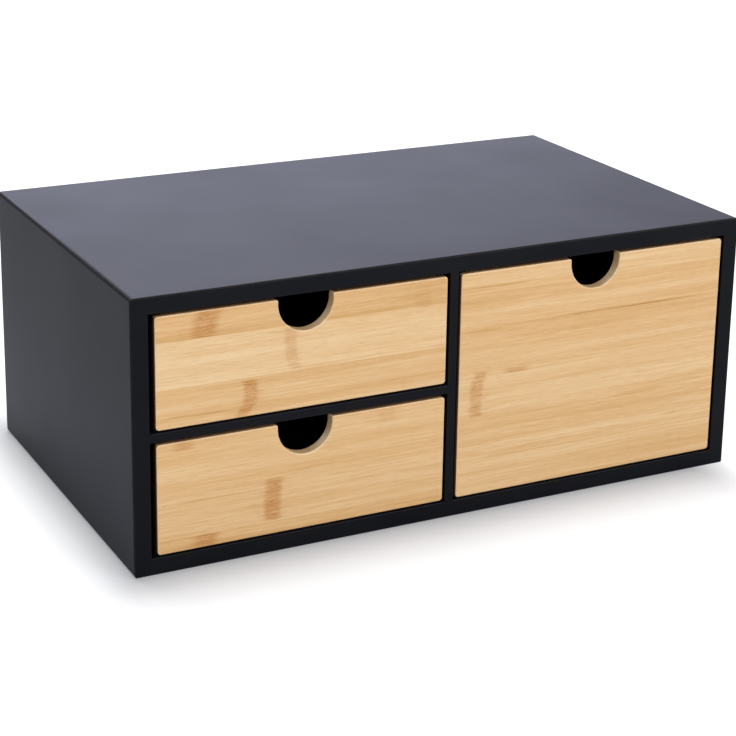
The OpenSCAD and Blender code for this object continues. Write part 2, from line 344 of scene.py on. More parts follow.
def quarter_round(radius):
    """Pairs (depth below one face, distance inside the other) along an eased arris."""
    turns = [math.pi / 2 * i / ARRIS_STEPS for i in range(ARRIS_STEPS + 1)]
    return [(radius * (1 - math.sin(t)), radius * (1 - math.cos(t))) for t in turns]


def opening_cutter(low, high, face, inward, radius=ARRIS_RADIUS):
    """Eases the arris round a rectangular opening in the plane y = face. low and high are its
    (x, z) corners, and inward is 1 or -1, the way into the cabinet along Y."""
    clear = 2 * radius
    levels = [(radius + clear, -clear), *quarter_round(radius), (-clear, radius + clear)]
    rings = []
    for depth, out in levels:
        y = face + inward * depth
        x0, z0 = low[0] - out, low[1] - out
        x1, z1 = high[0] + out, high[1] + out
        rings.append([(x0, y, z0), (x1, y, z0), (x1, y, z1), (x0, y, z1)])
    return cutter_through(rings)


def edge_cutter(start, end, along_one, along_other, radius):
    """Eases one straight arris from start to end. The other two are the directions in which
    the two faces run away from it."""
    start, end = Vector(start), Vector(end)
    one, other = Vector(along_one), Vector(along_other)
    clear = radius
    profile = [(radius + clear, -clear), *quarter_round(radius), (-clear, radius + clear)]
    profile.append((-clear, -clear))
    past = (end - start).normalized() * clear
    ends = (start - past, end + past)
    return cutter_through([[p + one * a + other * b for a, b in profile] for p in ends])


def carve(piece, cutters):
    """Takes the cutters' shapes out of the piece."""
    for cutter in cutters:
        cut = piece.modifiers.new("cut", "BOOLEAN")
        cut.operation = "DIFFERENCE"
        cut.solver = "EXACT"
        cut.object = cutter
    settle(piece)
    for cutter in cutters:
        mesh = cutter.data
        bpy.data.objects.remove(cutter)
        bpy.data.meshes.remove(mesh)


def smooth_arrises(piece):
    """Gives every face corner its normal: flat faces stay flat, and the steps of an eased
    arris blend into each other and into the flats beside it."""
    mesh = piece.data
    limit = math.cos(math.radians(SHARP_ANGLE))
    flat = [max(abs(part) for part in face.normal) > FLAT_FACE for face in mesh.polygons]
    around = [[] for _ in mesh.vertices]
    for face in mesh.polygons:
        for corner in face.vertices:
            around[corner].append(face.index)
    normals = []
    for face in mesh.polygons:
        for corner in face.vertices:
            if flat[face.index]:
                normals.append(face.normal.copy())
                continue
            near = [mesh.polygons[i] for i in around[corner]]
            near = [other for other in near if other.normal.dot(face.normal) > limit]
            flats = [other.normal for other in near if flat[other.index]]
            if flats:
                normals.append(max(flats, key=face.normal.dot).copy())
            else:
                total = sum((other.normal * other.area for other in near), Vector())
                normals.append(total.normalized())
    mesh.shade_smooth()
    mesh.normals_split_custom_set(normals)


def dress(piece, body, slot, *nodes):
    """Fixes a finished piece to its body in place of its CAD nodes."""
    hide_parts(*nodes)
    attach(piece, body)


# Effects that several finishes share. Each is a group of nodes that gives masks and heights.
def new_group(name, inputs, outputs):
    """A shader group with named sockets: (group, its wires, input sockets, output sockets)."""
    kinds = {"value": "NodeSocketFloat", "vector": "NodeSocketVector", "colour": "NodeSocketColor"}
    group = bpy.data.node_groups.new(name, "ShaderNodeTree")
    for label, (kind, default) in inputs.items():
        socket = group.interface.new_socket(label, in_out="INPUT", socket_type=kinds[kind])
        if default is not None:
            socket.default_value = default
    for label, kind in outputs.items():
        group.interface.new_socket(label, in_out="OUTPUT", socket_type=kinds[kind])
    wires = Wires(group)
    given = group.nodes.new("NodeGroupInput").outputs
    result = group.nodes.new("NodeGroupOutput").inputs
    return group, wires, given, result


def place_group(wires, group, inputs):
    """One use of a group in a material, with its values."""
    node = wires.tree.nodes.new("ShaderNodeGroup")
    node.node_tree = group
    for key, value in inputs.items():
        wires.join(value, node.inputs[key])
    return node.outputs


# Edge wear, and on the bamboo also a painted highlight: strongest where a surface turns
# between two flat faces, broken up by noise.
EDGE_WEAR_AND_HIGHLIGHT, wires, given, result = new_group(
    "edge_wear_and_highlight",
    {
        "Place": ("vector", None),
        "Facing": ("vector", None),
        "Patch scale": ("value", 220.0),
        "Least": ("value", 0.25),
    },
    {"Wear": "value"},
)
facing = wires.split(wires.vector("ABSOLUTE", given["Facing"]))
flattest = wires.math("MAXIMUM", wires.math("MAXIMUM", facing[0], facing[1]), facing[2])
turned = wires.range(flattest, 0.995, 0.80)
patches = wires.noise(given["Place"], given["Patch scale"], 3.0, 0.6)
patches = wires.range(patches, 0.35, 0.65, given["Least"], 1.0, smooth=True)
wires.join(wires.math("MULTIPLY", turned, patches), result["Wear"])

# Sprayed skin: a faint ripple, fine grains in the paint, and slow changes of gloss.
SPRAYED_SKIN, wires, given, result = new_group(
    "sprayed_skin",
    {
        "Place": ("vector", None),
        "Ripple scale": ("value", 420.0),
        "Grain scale": ("value", 2600.0),
        "Cloud scale": ("value", 14.0),
    },
    {"Height": "value", "Cloud": "value", "Grain": "value"},
)
ripple = wires.noise(given["Place"], given["Ripple scale"], 2.0, 0.45)
grain = wires.noise(given["Place"], given["Grain scale"], 2.0, 0.6)
cloud = wires.noise(given["Place"], given["Cloud scale"], 3.0, 0.55)
height = wires.math("MULTIPLY_ADD", grain, 0.25, ripple)
wires.join(height, result["Height"])
wires.join(cloud, result["Cloud"])
wires.join(grain, result["Grain"])

PAINT_DARK = (0.0044, 0.0050, 0.0068, 1)
PAINT_LIGHT = (0.0070, 0.0076, 0.0098, 1)
PAINT_THIN = (0.022, 0.014, 0.011, 1)
PAINT_SPECULAR = 0.105
PAINT_ROUGHNESS = (0.29, 0.34)
PAINT_EDGE_WEAR = 0.8
PAINT_RELIEF = (0.18, 0.00006)

cabinet_paint, wires = new_material("black_cabinet_paint")
where = wires.add("ShaderNodeTexCoord").outputs
skin = place_group(wires, SPRAYED_SKIN, {"Place": where["Object"]})
wear = place_group(wires, EDGE_WEAR_AND_HIGHLIGHT, {"Place": where["Object"], "Facing": where["Normal"]})
wear = wires.math("MULTIPLY", wear["Wear"], PAINT_EDGE_WEAR)
colour = wires.mix(wires.range(skin["Cloud"], 0.35, 0.65), PAINT_DARK, PAINT_LIGHT)
colour = wires.mix(wear, colour, PAINT_THIN)
rough = wires.range(skin["Cloud"], 0.3, 0.7, *PAINT_ROUGHNESS)
rough = wires.math("MULTIPLY_ADD", skin["Grain"], 0.05, rough)
wires.surface(colour, rough, skin["Height"], PAINT_RELIEF, PAINT_SPECULAR)

top_low, top_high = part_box("top_panel")
floor_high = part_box("bottom_panel")[1]
inner_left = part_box("left_side_panel")[1].x
inner_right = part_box("right_side_panel")[0].x
divider_low, divider_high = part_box("centre_divider")
shelf_low, shelf_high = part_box("left_shelf")
front_y, rear_y = top_low.y, top_high.y
REBATE_WIDTH = 0.004


def cabinet_openings():
    """Cutters for the three drawer openings and the rebate at the rear."""
    bays = [
        ((inner_left, shelf_high.z), (divider_low.x, top_low.z)),
        ((inner_left, floor_high.z), (divider_low.x, shelf_low.z)),
        ((divider_high.x, floor_high.z), (inner_right, top_low.z)),
    ]
    cutters = [opening_cutter(low, high, front_y, 1) for low, high in bays]
    low = (inner_left - REBATE_WIDTH, floor_high.z - REBATE_WIDTH)
    high = (inner_right + REBATE_WIDTH, top_low.z + REBATE_WIDTH)
    cutters.append(opening_cutter(low, high, rear_y, -1))
    return cutters


painted = ["top_panel", "bottom_panel", "left_side_panel", "right_side_panel"]
painted += ["centre_divider", "left_shelf"]
for node in painted:
    panel = link_piece("painted_" + node, joined_copy(node), cabinet_paint)
    carve(panel, cabinet_openings())
    smooth_arrises(panel)
    dress(panel, "cabinet", "black_cabinet_paint", node)


# ---------- Back panel ----------
# A thin black hardboard that lies in the rebate and is nailed all round. Its face shows the
# matted fibres of the board under a thin stain.
BOARD_STAIN_DARK = (0.010, 0.010, 0.011, 1)
BOARD_STAIN_LIGHT = (0.022, 0.021, 0.021, 1)
BOARD_FIBRES = (900, 900, 2400)
BOARD_RELIEF = (0.35, 0.00008)
BOARD_SPECULAR = 0.3

back_board, wires = new_material("black_back_board")
where = wires.add("ShaderNodeTexCoord").outputs["Object"]
mat_of_fibres = wires.drawn_noise(where, BOARD_FIBRES, 4.0, 0.7)
blotches = wires.noise(where, 30.0, 3.0, 0.6)
tone = wires.math("MULTIPLY_ADD", blotches, 0.5, wires.math("MULTIPLY", mat_of_fibres, 0.6))
colour = wires.mix(wires.range(tone, 0.40, 0.72), BOARD_STAIN_DARK, BOARD_STAIN_LIGHT)
rough = wires.range(mat_of_fibres, 0.3, 0.7, 0.48, 0.66)
wires.surface(colour, rough, mat_of_fibres, BOARD_RELIEF, BOARD_SPECULAR)

back_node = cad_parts["back_panel"]
back_node.data.materials.clear()
back_node.data.materials.append(back_board)


# ---------- Dowels in the corners ----------
# Fluted beech dowels with chamfered ends, glued into the side panels and into the top and
# bottom panels. The flutes let the spare glue out of the hole.
DOWEL_RADIUS = 0.0025
DOWEL_LENGTH = 0.014
DOWEL_CHAMFER = 0.0007
DOWEL_FLUTES = 24
DOWEL_FLUTE_SHARE = 0.05
POINTS_IN_A_FLUTE = 3
DOWELS_IN_A_CORNER = 3
TURN_SEED = 7
BEECH_PALE = (0.60, 0.40, 0.235, 1)
BEECH_DARK = (0.40, 0.235, 0.125, 1)
BEECH_GRAIN = (2200, 2200, 110)
BEECH_FLECKS = (4200, 1400, 620)
BEECH_RELIEF = (0.4, 0.00008)


def switch_by_index(wires, index, values):
    """A number picked from a list by an index."""
    node = wires.tree.nodes.new("GeometryNodeIndexSwitch")
    node.data_type = "FLOAT"
    while len(node.index_switch_items) < len(values):
        node.index_switch_items.new()
    wires.join(index, node.inputs[0])
    for i, value in enumerate(values):
        wires.join(value, node.inputs[1 + i])
    return node.outputs[0]


def new_maker(name, inputs):
    """A geometry tree with named inputs: (tree, its wires, input sockets, output socket)."""
    kinds = {"length": "NodeSocketFloat", "count": "NodeSocketInt", "material": "NodeSocketMaterial"}
    tree = bpy.data.node_groups.new(name, "GeometryNodeTree")
    tree.interface.new_socket("Places", in_out="INPUT", socket_type="NodeSocketGeometry")
    for label, kind in inputs.items():
        tree.interface.new_socket(label, in_out="INPUT", socket_type=kinds[kind])
    tree.interface.new_socket("Pieces", in_out="OUTPUT", socket_type="NodeSocketGeometry")
    wires = Wires(tree)
    given = tree.nodes.new("NodeGroupInput").outputs
    made = tree.nodes.new("NodeGroupOutput").inputs[0]
    return tree, wires, given, made


def turned_piece(wires, depths, radii, section):
    """A turned solid along +Z: the section stands at each of the depths, as wide as the radius
    there."""
    index = wires.add("GeometryNodeInputIndex").outputs[0]
    line = wires.add("GeometryNodeCurvePrimitiveLine", {"End": (0, 0, 1)}).outputs[0]
    inputs = {"Curve": line, "Count": len(depths)}
    stations = wires.add("GeometryNodeResampleCurve", inputs).outputs[0]
    spot = wires.combine(z=switch_by_index(wires, index, depths))
    inputs = {"Geometry": stations, "Position": spot}
    stations = wires.add("GeometryNodeSetPosition", inputs).outputs[0]
    scale = switch_by_index(wires, index, radii)
    inputs = {"Curve": stations, "Profile Curve": section, "Scale": scale, "Fill Caps": True}
    return wires.add("GeometryNodeCurveToMesh", inputs).outputs[0]


def stand_at_places(wires, given, piece, made):
    """Copies of the piece at the places, along each place's direction, turned at random."""
    way = wires.add("GeometryNodeInputNamedAttribute", {"Name": "way"}, data_type="FLOAT_VECTOR")
    along = wires.add("FunctionNodeAlignRotationToVector", {"Vector": way.outputs[0]}, axis="Z")
    largest_in, number_out = 3, 1
    inputs = {largest_in: math.tau, "Seed": TURN_SEED}
    spin = wires.add("FunctionNodeRandomValue", inputs, data_type="FLOAT").outputs[number_out]
    inputs = {"Rotation": along.outputs[0], "Rotate By": wires.combine(z=spin)}
    turned = wires.add("FunctionNodeRotateRotation", inputs, rotation_space="LOCAL").outputs[0]
    inputs = {"Points": given["Places"], "Instance": piece, "Rotation": turned}
    copies = wires.add("GeometryNodeInstanceOnPoints", inputs).outputs[0]
    real = wires.add("GeometryNodeRealizeInstances", {"Geometry": copies}).outputs[0]
    inputs = {"Geometry": real, "Material": given["Material"]}
    wires.join(wires.add("GeometryNodeSetMaterial", inputs).outputs[0], made)


def make_pieces(name, maker, places, ways, values, material):
    """One mesh of all the fasteners that a maker stands at the places."""
    mesh = bpy.data.meshes.new(name)
    mesh.from_pydata(places, [], [])
    ways_on_mesh = mesh.attributes.new("way", "FLOAT_VECTOR", "POINT")
    ways_on_mesh.data.foreach_set("vector", [part for way in ways for part in way])
    piece = bpy.data.objects.new(name, mesh)
    scene.collection.objects.link(piece)
    modifier = piece.modifiers.new("maker", "NODES")
    modifier.node_group = maker
    for item in maker.interface.items_tree:
        if item.in_out == "INPUT" and item.name in values:
            modifier[item.identifier] = values[item.name]
        elif item.in_out == "INPUT" and item.name == "Material":
            modifier[item.identifier] = material
    settle(piece)
    return piece


DOWEL_MAKER, wires, given, made = new_maker(
    "dowel_maker",
    {
        "Radius": "length",
        "Length": "length",
        "Chamfer": "length",
        "Flutes": "count",
        "Material": "material",
    },
)
shoulder = wires.math("SUBTRACT", given["Length"], given["Chamfer"])
depths = [0.0, given["Chamfer"], shoulder, given["Length"]]
end_radius = wires.math("SUBTRACT", given["Radius"], given["Chamfer"])
radii = [end_radius, given["Radius"], given["Radius"], end_radius]
# The first point of each flute lies nearer the middle of the ring, at its valley.
points = wires.math("MULTIPLY", given["Flutes"], POINTS_IN_A_FLUTE)
ring = wires.add("GeometryNodeCurvePrimitiveCircle", {"Resolution": points, "Radius": 1.0})
index = wires.add("GeometryNodeInputIndex").outputs[0]
in_flute = wires.math("MODULO", index, POINTS_IN_A_FLUTE)
valley = wires.math("COMPARE", in_flute, 0, 0.1)
width = wires.math("MULTIPLY_ADD", valley, -DOWEL_FLUTE_SHARE, 1.0)
spot = wires.add("GeometryNodeInputPosition").outputs[0]
inputs = {"Geometry": ring.outputs[0], "Position": wires.vector("SCALE", spot, scale=width)}
fluted_ring = wires.add("GeometryNodeSetPosition", inputs).outputs[0]
stand_at_places(wires, given, turned_piece(wires, depths, radii, fluted_ring), made)

beech, wires = new_material("beech_dowel")
where = wires.add("ShaderNodeTexCoord").outputs["Object"]
grain = wires.drawn_noise(where, BEECH_GRAIN, 4.0, 0.6)
flecks = wires.range(wires.drawn_noise(where, BEECH_FLECKS), 0.62, 0.74)
colour = wires.mix(wires.range(grain, 0.30, 0.72), BEECH_PALE, BEECH_DARK)
colour = wires.mix(wires.math("MULTIPLY", flecks, 0.6), colour, BEECH_DARK)
wires.surface(colour, wires.range(grain, 0.3, 0.7, 0.58, 0.74), grain, BEECH_RELIEF)


def spaced(first, last, count):
    """Evenly spaced numbers from first to last."""
    return [first + (last - first) * i / (count - 1) for i in range(count)]


def shade_rounds(piece):
    """Smooth shading, with the steps of ends, heads and shoulders kept crisp."""
    piece.data.shade_smooth()
    piece.data.set_sharp_from_angle(angle=math.radians(SHARP_ANGLE))


low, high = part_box("corner_dowels")
dowel_x = high.x - DOWEL_RADIUS
dowel_y = round(high.y - DOWEL_RADIUS, 4)
places = [
    (side * dowel_x, y, z)
    for side in (-1, 1)
    for y in spaced(-dowel_y, dowel_y, DOWELS_IN_A_CORNER)
    for z in (low.z, high.z - DOWEL_LENGTH)
]
sizes = {"Radius": DOWEL_RADIUS, "Length": DOWEL_LENGTH}
sizes.update({"Chamfer": DOWEL_CHAMFER, "Flutes": DOWEL_FLUTES})
dowels = make_pieces("fluted_dowels", DOWEL_MAKER, places, [(0, 0, 1)] * len(places), sizes, beech)
shade_rounds(dowels)
dress(dowels, "cabinet", "beech_dowel", "corner_dowels")


# ---------- Brads in the back panel ----------
# Bright steel wire brads with flat heads, driven flush. The wire under the head has a few
# grip rings, and its end is pointed. The drawers' corners have longer ones of the same make.
BRAD_HEAD_RADIUS = 0.0011
BRAD_HEAD_THICKNESS = 0.0006
BRAD_SHANK_RADIUS = 0.0006
BRAD_SIDES = 20
BACK_BRAD_LENGTH = 0.012
BACK_BRADS_ALONG = 4
BACK_BRADS_UP = 2
BACK_BRAD_INSET = 0.034
STEEL_BRIGHT = (0.46, 0.45, 0.44, 1)
STEEL_DULL = (0.24, 0.23, 0.22, 1)
STEEL_SCRATCHES = (9000, 2500, 9000)
STEEL_RELIEF = (0.2, 0.00002)
# Stations of the head as (share of the head's thickness, share of its radius), and of the
# wire as (share of the length under the head, share of the wire's radius)
HEAD_STATIONS = [(0.0, 0.55), (0.06, 0.86), (0.22, 1.0), (0.80, 1.0), (1.0, 0.90)]
WIRE_STATIONS = [(0.0, 1.0), (0.05, 1.0)]
WIRE_STATIONS += [(0.07 + 0.02 * i, 0.88 if i % 2 else 1.0) for i in range(9)]
WIRE_STATIONS += [(0.84, 1.0), (0.93, 0.62), (1.0, 0.06)]

BRAD_MAKER, wires, given, made = new_maker(
    "brad_maker",
    {
        "Head radius": "length",
        "Head thickness": "length",
        "Wire radius": "length",
        "Length": "length",
        "Sides": "count",
        "Material": "material",
    },
)
head = given["Head thickness"]
under = wires.math("SUBTRACT", given["Length"], head)
depths = [wires.math("MULTIPLY", head, share) for share, _ in HEAD_STATIONS]
depths += [wires.math("MULTIPLY_ADD", under, share, head) for share, _ in WIRE_STATIONS]
radii = [wires.math("MULTIPLY", given["Head radius"], share) for _, share in HEAD_STATIONS]
radii += [wires.math("MULTIPLY", given["Wire radius"], share) for _, share in WIRE_STATIONS]
ring = wires.add("GeometryNodeCurvePrimitiveCircle", {"Resolution": given["Sides"], "Radius": 1.0})
stand_at_places(wires, given, turned_piece(wires, depths, radii, ring.outputs[0]), made)


def brad_steel(name, bright, dull):
    """Drawn steel wire, tarnished in spots."""
    material, wires = new_material(name)
    where = wires.add("ShaderNodeTexCoord").outputs["Object"]
    tarnish = wires.noise(where, 900.0, 3.0, 0.6)
    scratches = wires.drawn_noise(where, STEEL_SCRATCHES, 2.0, 0.6)
    colour = wires.mix(wires.range(tarnish, 0.40, 0.66), bright, dull)
    rough = wires.math("MULTIPLY_ADD", scratches, 0.12, wires.range(tarnish, 0.4, 0.66, 0.26, 0.42))
    wires.surface(colour, rough, scratches, STEEL_RELIEF, metallic=1.0)
    return material


def brads(name, places, ways, length, steel):
    """One mesh of like brads. A way is the direction in which a brad is driven."""
    sizes = {"Head radius": BRAD_HEAD_RADIUS, "Head thickness": BRAD_HEAD_THICKNESS}
    sizes.update({"Wire radius": BRAD_SHANK_RADIUS, "Length": length, "Sides": BRAD_SIDES})
    piece = make_pieces(name, BRAD_MAKER, places, ways, sizes, steel)
    shade_rounds(piece)
    return piece


steel = brad_steel("steel_brad", STEEL_BRIGHT, STEEL_DULL)
low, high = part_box("back_brads")
reach = CABINET_FOOT[0] - BACK_BRAD_INSET
row_x = spaced(-reach, reach, BACK_BRADS_ALONG)
row_z = spaced(BACK_BRAD_INSET, top_high.z - BACK_BRAD_INSET, BACK_BRADS_UP)
inset = BRAD_HEAD_RADIUS
places = [(x, high.y, z) for x in row_x for z in (low.z + inset, high.z - inset)]
places += [(x, high.y, z) for x in (low.x + inset, high.x - inset) for z in row_z]
piece = brads("brads_in_back_panel", places, [(0, -1, 0)] * len(places), BACK_BRAD_LENGTH, steel)
dress(piece, "cabinet", "steel_brad", "back_brads")


# ---------- Drawer boxes ----------
# Thin softwood boards, stained black with their grain still showing. The sides are let into
# the front, the rear board stands between them, and the bottom board sits in grooves.
BOARD_ARRIS = 0.0006
STAIN_DARK = (0.0050, 0.0050, 0.0055, 1)
STAIN_LIGHT = (0.0125, 0.0115, 0.0110, 1)
STAIN_WORN = (0.045, 0.032, 0.022, 1)
STAIN_SPECULAR = 0.22
STAIN_EDGE_WEAR = 0.55
STAIN_RELIEF = (0.5, 0.00009)
BRADS_IN_A_CORNER = {"upper_drawer": 2, "lower_drawer": 2, "large_drawer": 3}
DRAWER_BRAD_LENGTH = 0.014
# The boxes are stained after they are nailed, so the heads of their brads are stained too.
STAINED_STEEL_BRIGHT = (0.075, 0.071, 0.068, 1)
STAINED_STEEL_DULL = (0.024, 0.022, 0.021, 1)

# Straight grain: long fibres, slower rings and open pores, along the X axis of the place.
STRAIGHT_GRAIN, wires, given, result = new_group(
    "straight_grain",
    {
        "Place": ("vector", None),
        "Fibre scale": ("value", 1500.0),
        "Ring scale": ("value", 190.0),
        "Along": ("value", 0.045),
    },
    {"Fibres": "value", "Rings": "value", "Pores": "value"},
)
drawn = wires.vector("MULTIPLY", given["Place"], wires.combine(given["Along"], 1.0, 1.0))
sway = wires.math("MULTIPLY", wires.noise(drawn, 55.0), 0.007)
drawn = wires.vector("ADD", drawn, wires.combine(y=sway, z=sway))
fibres = wires.noise(drawn, given["Fibre scale"], 3.0, 0.6)
rings = wires.noise(drawn, given["Ring scale"])
pores = wires.noise(wires.vector("MULTIPLY", drawn, (2.6, 1.0, 1.0)), 3400.0, 1.0, 0.5)
wires.join(fibres, result["Fibres"])
wires.join(rings, result["Rings"])
wires.join(wires.range(pores, 0.63, 0.72), result["Pores"])


def stained_board(name, order):
    """Black-stained softwood with its grain along the first of the axes in order."""
    material, wires = new_material(name)
    where = wires.add("ShaderNodeTexCoord").outputs
    axes = wires.split(where["Object"])
    place = wires.combine(*[axes[axis] for axis in order])
    grain = place_group(wires, STRAIGHT_GRAIN, {"Place": place})
    inputs = {"Place": where["Object"], "Facing": where["Normal"], "Least": 0.1}
    wear = place_group(wires, EDGE_WEAR_AND_HIGHLIGHT, inputs)
    rings = wires.math("MULTIPLY", grain["Rings"], 0.5)
    tone = wires.math("MULTIPLY_ADD", grain["Fibres"], 0.5, rings)
    colour = wires.mix(wires.range(tone, 0.38, 0.64), STAIN_DARK, STAIN_LIGHT)
    colour = wires.mix(wires.math("MULTIPLY", wear["Wear"], STAIN_EDGE_WEAR), colour, STAIN_WORN)
    colour = wires.mix(wires.math("MULTIPLY", grain["Pores"], 0.7), colour, STAIN_DARK)
    height = wires.math("MULTIPLY_ADD", grain["Pores"], -0.6, grain["Fibres"])
    rough = wires.range(grain["Fibres"], 0.3, 0.7, 0.50, 0.66)
    wires.surface(colour, rough, height, STAIN_RELIEF, STAIN_SPECULAR)
    return material


board_along_y = stained_board("black_drawer_board_lengthwise", (1, 0, 2))
board_along_x = stained_board("black_drawer_board_crosswise", (0, 1, 2))
stained_steel = brad_steel("stained_steel_brad", STAINED_STEEL_BRIGHT, STAINED_STEEL_DULL)

for drawer, corner_brads in BRADS_IN_A_CORNER.items():
    for side in ("left_side", "right_side"):
        node = f"{drawer}_{side}"
        low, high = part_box(node)
        piece = link_piece("eased_" + node, joined_copy(node), board_along_y)
        cutters = []
        for x, inward in ((low.x, 1), (high.x, -1)):
            for z, up in ((high.z, -1), (low.z, 1)):
                start, end = (x, low.y, z), (x, high.y, z)
                cutters.append(edge_cutter(start, end, (inward, 0, 0), (0, 0, up), BOARD_ARRIS))
            start, end = (x, high.y, low.z), (x, high.y, high.z)
            cutters.append(edge_cutter(start, end, (inward, 0, 0), (0, -1, 0), BOARD_ARRIS))
        start, end = (low.x, high.y, high.z), (high.x, high.y, high.z)
        cutters.append(edge_cutter(start, end, (0, -1, 0), (0, 0, -1), BOARD_ARRIS))
        carve(piece, cutters)
        smooth_arrises(piece)
        dress(piece, drawer, "black_drawer_board", node)

    node = drawer + "_rear"
    low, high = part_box(node)
    piece = link_piece("eased_" + node, joined_copy(node), board_along_x)
    cutters = []
    for y, inward in ((low.y, 1), (high.y, -1)):
        start, end = (low.x, y, high.z), (high.x, y, high.z)
        cutters.append(edge_cutter(start, end, (0, inward, 0), (0, 0, -1), BOARD_ARRIS))
    carve(piece, cutters)
    smooth_arrises(piece)
    dress(piece, drawer, "black_drawer_board", node)

    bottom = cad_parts[drawer + "_bottom"]
    bottom.data.materials.clear()
    bottom.data.materials.append(board_along_x)

    node = drawer + "_brads"
    low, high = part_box(node)
    inset = BRAD_HEAD_RADIUS
    heights = spaced(low.z + inset, high.z - inset, corner_brads)
    corners = [(x, y) for x in (low.x, high.x) for y in (low.y + inset, high.y - inset)]
    places = [(x, y, z) for x, y in corners for z in heights]
    ways = [(1, 0, 0) if x == low.x else (-1, 0, 0) for x, _, _ in places]
    piece = brads("brads_in_" + drawer, places, ways, DRAWER_BRAD_LENGTH, stained_steel)
    dress(piece, drawer, "steel_brad", node)


# ---------- Drawer fronts ----------
# Boards of flat-pressed bamboo: wide strips glued edge to edge with their fibres along the
# width, sanded and sealed matt. The finger notch and all the arrises are rounded over.
FRONT_CORNER = 0.00175
FRONT_ARRIS = 0.0008
REAR_ARRIS = 0.0003
NOTCH_WIDTH = 0.028
NOTCH_DEPTH = 0.0165
NOTCH_LIP = 0.0012
CORNER_STEPS = 6
LIP_STEPS = 8
NOTCH_STEPS = 56
# At the rear, rebates in both ends take the drawer's sides, and a groove takes its bottom
# board. A cutter runs past the wood by PAST.
SIDE_THICKNESS = 0.005
REBATE_DEPTH = 0.0025
GLUE_GAP = 0.00005
BRAD_HOLE_GAP = 0.00003
PAST = 0.001
# The wood's tones, from the palest strip to the darkest streak, and its marks
BAMBOO_PALE = (0.88, 0.65, 0.375)
BAMBOO_MEAN = (0.78, 0.495, 0.238)
BAMBOO_DEEP = (0.655, 0.375, 0.138)
BAMBOO_BROWN = (0.52, 0.27, 0.080)
BAMBOO_KNUCKLE = (0.53, 0.215, 0.048, 1)
BAMBOO_FLECK = (0.30, 0.125, 0.040, 1)
BAMBOO_END = (0.64, 0.41, 0.205, 1)
BAMBOO_END_DOT = (0.40, 0.225, 0.095, 1)
# Paler sanded wood on the eased arrises, with a painted highlight in it
BAMBOO_SANDED_AND_HIGHLIGHT = (0.92, 0.74, 0.50, 1)
# Painted shade on the outer edges, as dark as the gap round the opening: near black deep in
# the gap and browner towards the face; both depths in millimetres
BAMBOO_RIM = (0.012, 0.006, 0.004, 1)
BAMBOO_RIM_SHADE_NEAR_FACE = (0.20, 0.085, 0.030, 1)
BAMBOO_RIM_DEPTH = 0.25
BAMBOO_RIM_FADE = (0.7, 2.6)
# The glue line between two strips: (none, full) from its middle in millimetres, and its tone
GLUE_LINE = (0.22, 0.05)
GLUE_LINE_TONE = 0.22
MM = 1000
BAMBOO_SPECULAR = 0.32
BAMBOO_RELIEF = (0.35, 0.00008)

# Fibres of one strip: broad bands, streaks, fine lines and short dark dashes, all drawn out
# along X. The scales are per millimetre, as the place is in millimetres. The seed shifts all.
BROAD_BANDS = (0.0048, 0.08, 0.21)
STREAKS = (0.017, 0.4, 1.05)
FINE_LINES = (0.10, 1.8, 3.2)
DASHES = (0.16, 4.5, 4.8)
FIBRE_SWAY = (0.011, 0.03, 0.09)
SEED_SHIFT = (913.0, 71.0, 547.0)
BAMBOO_FIBRES, wires, given, result = new_group(
    "bamboo_fibres",
    {"Place": ("vector", None), "Seed": ("value", 0.0)},
    {"Tone": "value", "Height": "value", "Dashes": "value"},
)
shift = wires.vector("SCALE", SEED_SHIFT, scale=given["Seed"])
place = wires.vector("ADD", given["Place"], shift)
sway = wires.swing(wires.drawn_noise(place, FIBRE_SWAY), 3.4)
place = wires.vector("ADD", place, wires.combine(z=sway))
streaks = wires.drawn_noise(place, STREAKS, 4.0, 0.62)
fine = wires.drawn_noise(place, FINE_LINES, 2.0, 0.55)
dashes = wires.range(wires.drawn_noise(place, DASHES, 1.0), 0.60, 0.74)
tone = wires.swing(wires.drawn_noise(place, BROAD_BANDS), 0.75)
tone = wires.math("ADD", tone, wires.swing(streaks, 0.72))
tone = wires.math("ADD", tone, wires.swing(fine, 0.55))
wires.join(tone, result["Tone"])
height = wires.math("MULTIPLY_ADD", fine, 0.6, wires.math("MULTIPLY", streaks, 0.4))
wires.join(wires.math("MULTIPLY_ADD", dashes, -0.35, height), result["Height"])
wires.join(dashes, result["Dashes"])

# A knuckle of the cane, cut through: a warm brown mottled patch across one strip, with short
# dark flecks along the fibres and a faint smear to both sides. It bows and leans a little.
KNUCKLE_WOBBLE = (0.05, 0.2, 0.42)
KNUCKLE_MOTTLE = (0.06, 0.7, 1.3)
KNUCKLE_SMEAR = (0.05, 0.3, 1.3)
KNUCKLE_FLECKS = (0.42, 1.0, 2.2)
KNUCKLE, wires, given, result = new_group(
    "knuckle",
    {
        "Place": ("vector", None),
        "X": ("value", 0.0),
        "Z": ("value", 0.0),
        "Half width": ("value", 5.0),
        "Half height": ("value", 10.0),
        "Bow": ("value", 1.0),
        "Lean": ("value", 0.0),
        "Strength": ("value", 1.0),
    },
    {"Stain": "value", "Flecks": "value"},
)
